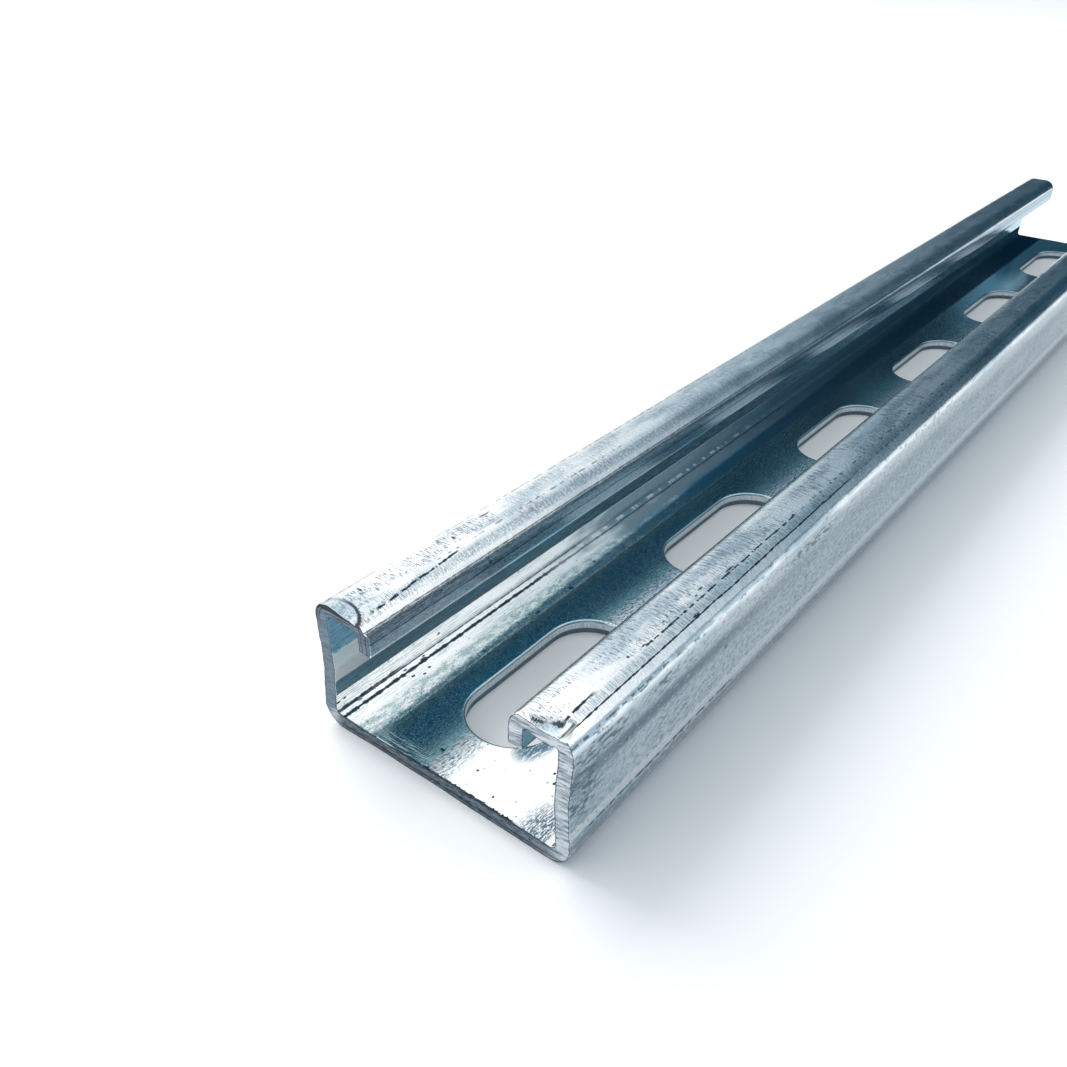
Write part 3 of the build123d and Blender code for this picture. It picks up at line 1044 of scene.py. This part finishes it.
def sawn_steel():
    """Bare cut ends: streaks of the saw, black grooves and hollows as painted shade, and darker
    across the web as painted shade near the floor.
    """
    material, n = new_material("sawn_steel")
    strip = n.strip()
    _, s, depth = n.split(strip)
    place = n.out(n.make("TexCoord"), "Object")
    tilted = n.stretched(place, (1, 1, 1), turn=(math.radians(8.5), 0, 0))
    grain = n.cloud(tilted, (200, 330, 2300), 3)
    fine = n.cloud(tilted, (300, 500, 5200))
    fleck = n.cloud(strip, (3, 3, 3))
    along_sheet = n.cloud(strip, (1, 0.9, 6), 3, 0.6)
    web = n.ramp(abs(s), 19.5, 17) * n.ramp(s, -19, -12, 0.6, 1)
    left = n.ramp(s, 19, 21)

    coat = Coat(n, n.ramp(grain, 0.38, 0.6), (0.31, 0.36, 0.41), (0.63, 0.68, 0.72))
    coat.lay(n.ramp(fleck, 0.52, 0.72) * 0.5, (0.32, 0.37, 0.42))
    coat.lay(left * 0.9, (0.1, 0.15, 0.2))
    # painted shade: the end of the web is darker, down by the floor
    coat.lay(web * 0.86, (0.05, 0.08, 0.11))
    plates = web * n.ramp(along_sheet, 0.5, 0.56)
    coat.lay(plates * 0.65, (0.23, 0.32, 0.39))
    # painted shade in the hollows of the torn end of the web
    hollow_shade = web * n.ramp(along_sheet, 0.44, 0.39)
    coat.lay(hollow_shade * 0.95, (0.01, 0.015, 0.02))
    streaks = n.ramp(fine, 0.59, 0.65) * (1 - web * 0.8)
    coat.lay(streaks * 0.8, (0.06, 0.075, 0.095))

    # painted shade: black lines where grooves cross the sawn ends of the web and of the +Y shoulder
    # and flange
    sway = (n.noise(n.vector(s * 0.8, 5, 0), detail=3) - 0.5) * 0.9
    groove_shade = n.band(depth + sway, 0.62, 0.84, 0.08)
    groove_shade = n.most(groove_shade, web * n.band(depth + sway, 1.86, 2.1, 0.08))
    groove_shade = groove_shade * n.most(web, left * n.ramp(s, 33, 36))
    second = n.band(depth + sway, 1.55, 1.7, 0.08) * n.ramp(s, 35, 38)
    coat.lay(n.most(groove_shade, second) * 0.9, (0.015, 0.022, 0.03))
    from_rim = n.calc("MINIMUM", depth, SHEET - depth) + (fleck - 0.5) * 0.5
    rim = n.ramp(from_rim, 0.24, 0.12)
    coat.lay(rim * 0.88, (0.035, 0.05, 0.07))
    # painted shade: a black groove under the top face, at the end of the +Y shoulder and flange
    reach = n.band(s, 37, 43, 0.6) * 0.65 + 0.4
    black_groove_shade = n.ramp(depth + sway * 0.5, reach + 0.1, reach - 0.1) * n.band(s, 34.5, 43.5, 0.8)
    coat.lay(black_groove_shade * 0.92, (0.015, 0.02, 0.03))
    normal = n.bump(grain + fine * 0.5, 0.00012)
    metal_surface(n, coat.colour, n.ramp(grain, 0.3, 0.7, 0.5, 0.32), normal, 0.85)
    return material


def punched_steel():
    material, n = new_material("punched_steel")
    strip = n.strip()
    depth = n.split(strip)[2]
    drag = n.cloud(strip, (4.5, 4.5, 0.5), 3)
    burnished = n.ramp(depth, 0.8, 1.05)
    coat = Coat(n, burnished, (0.13, 0.19, 0.24), (0.7, 0.76, 0.8))
    coat.lay(n.ramp(drag, 0.4, 0.7) * 0.5, (0.26, 0.31, 0.36))
    normal = n.bump(drag, 0.00005)
    metal_surface(n, coat.colour, n.ramp(burnished, 0, 1, 0.5, 0.3), normal, 0.95)
    return material


# ---- the piece

shell = build_channel()
mesh = finished_mesh(shell, "channel_sheet")
for material in (
    zinc_coating("zinc_inside", inside_colour, 0.12, 0.35),
    zinc_coating("zinc_wall", wall_colour, 0.18, 1.2),
    zinc_coating("zinc_top", top_colour, 0.14, 0.8),
    sawn_steel(),
    punched_steel(),
):
    mesh.materials.append(material)
channel = bpy.data.objects.new("channel_sheet", mesh)
bpy.context.scene.collection.objects.link(channel)
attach(channel, "root")
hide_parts(NODE)


# ---- floor, light, camera

FLOOR_HALF = 3.0      # metres


def white_floor():
    half = FLOOR_HALF
    flat = bpy.data.meshes.new("studio_floor")
    corners = [(-half, -half, 0), (half, -half, 0), (half, half, 0), (-half, half, 0)]
    flat.from_pydata(corners, [], [(0, 1, 2, 3)])
    floor = bpy.data.objects.new("studio_floor", flat)
    bpy.context.scene.collection.objects.link(floor)
    material, n = new_material("studio_white")
    seen = n.make("LightPath")
    watched = n.either(
        n.out(seen, rays) for rays in ("Is Camera Ray", "Is Glossy Ray", "Is Transmission Ray")
    )
    shade = n.blend(watched, (0.88, 0.89, 0.9), (1, 1, 1))
    diffuse = n.make("BsdfDiffuse", {"Color": shade})
    lift = n.make("Emission", {"Color": (1, 1, 1, 1), "Strength": watched * 0.06})
    total = n.make("AddShader", {0: n.out(diffuse), 1: n.out(lift)})
    n.make("OutputMaterial", {"Surface": n.out(total)})
    flat.materials.append(material)


SCREEN_HEADING = -4.0     # middle of the dark screen, in degrees from +X towards +Y
SCREEN_HALF_TURN = 26.0   # half its spread along the horizon
SCREEN_HALF_RISE = 30.0   # and how high it stands


def studio_world():
    """White from overhead and from the left, a dark teal screen beyond the far end, and
    a dimmer side to the right. The metal mirrors all of that, and the camera and clear
    material see plain white in its place."""
    world = bpy.data.worlds.new("studio")
    bpy.context.scene.world = world
    world.use_nodes = True
    n = Nodes(world.node_tree)
    direction = n.out(n.make("TexCoord"), "Generated")
    dx, dy, dz = n.split(direction)
    rise = n.calc("ARCSINE", dz) * (180 / math.pi)
    turn = n.calc("ARCTAN2", dy, dx) * (180 / math.pi)
    bright_side = n.band(turn, -62, 176, 4)
    sky = n.blend(bright_side, (0.2, 0.27, 0.33), (1.22, 1.24, 1.26))
    sky = n.blend(n.ramp(rise, 62, 76), sky, (0.66, 0.73, 0.76))
    across = (turn - SCREEN_HEADING) * (1 / SCREEN_HALF_TURN)
    up = rise * (1 / SCREEN_HALF_RISE)
    reach = n.calc("SQRT", across * across + up * up)
    share = n.calc("MULTIPLY", reach - 0.7, 1 / 1.35, clamp=True)
    lower = n.calc("MULTIPLY", share, 2, clamp=True)
    upper = n.calc("MULTIPLY_ADD", share, 2, -1, clamp=True)
    shade = n.blend(n.calc("POWER", lower, 1.5), (0.004, 0.043, 0.078), (0.34, 0.47, 0.55))
    sky = n.blend(upper, shade, sky)
    seen = n.make("LightPath")
    looked_at = n.most(n.out(seen, "Is Camera Ray"), n.out(seen, "Is Transmission Ray"))
    sky = n.blend(looked_at, sky, (1, 1, 1))
    background = n.make("Background", {"Color": sky})
    n.make("OutputWorld", {"Surface": n.out(background)})


def pointing(heading, rise):
    """The direction at those angles, in degrees from +X towards +Y and up."""
    heading = math.radians(heading)
    rise = math.radians(rise)
    flat = math.cos(rise)
    return Vector((flat * math.cos(heading), flat * math.sin(heading), math.sin(rise)))


LAMP_HEADING = 84.0
LAMP_RISE = 42.0
LAMP_DISTANCE = 1.1
LAMP_SIZE = 0.8
LAMP_POWER = 8.0


def side_lamp():
    """One large soft lamp from the left and a little behind."""
    data = bpy.data.lights.new("side_lamp", "AREA")
    data.shape = "SQUARE"
    data.size = LAMP_SIZE
    data.energy = LAMP_POWER
    way = pointing(LAMP_HEADING, LAMP_RISE)
    lamp = bpy.data.objects.new("side_lamp", data)
    lamp.location = way * LAMP_DISTANCE
    lamp.visible_glossy = False
    lamp.rotation_mode = "QUATERNION"
    lamp.rotation_quaternion = way.to_track_quat("Z", "Y")
    bpy.context.scene.collection.objects.link(lamp)


CAMERA_PLACE = (-218.56, -65.34, 95.89)
CAMERA_HEADING = 37.76
CAMERA_DIP = 32.05
CAMERA_ROLL = 1.03
CAMERA_LENS = 34.27
CAMERA_SENSOR = 36.0


def place_camera():
    roll = math.radians(CAMERA_ROLL)
    forward = pointing(CAMERA_HEADING, -CAMERA_DIP)
    level = pointing(CAMERA_HEADING - 90, 0)
    upright = level.cross(forward)
    right = level * math.cos(roll) + upright * math.sin(roll)
    up = right.cross(forward)
    data = bpy.data.cameras.new("camera")
    data.lens = CAMERA_LENS
    data.sensor_width = CAMERA_SENSOR
    data.clip_start = 0.005
    data.clip_end = 20.0
    camera = bpy.data.objects.new("camera", data)
    turn = Matrix((right, up, -forward)).transposed().to_4x4()
    camera.matrix_world = Matrix.Translation(Vector(CAMERA_PLACE) * MM) @ turn
    bpy.context.scene.collection.objects.link(camera)
    bpy.context.scene.camera = camera


white_floor()
studio_world()
side_lamp()
place_camera()
bpy.context.scene.view_settings.view_transform = "Standard"
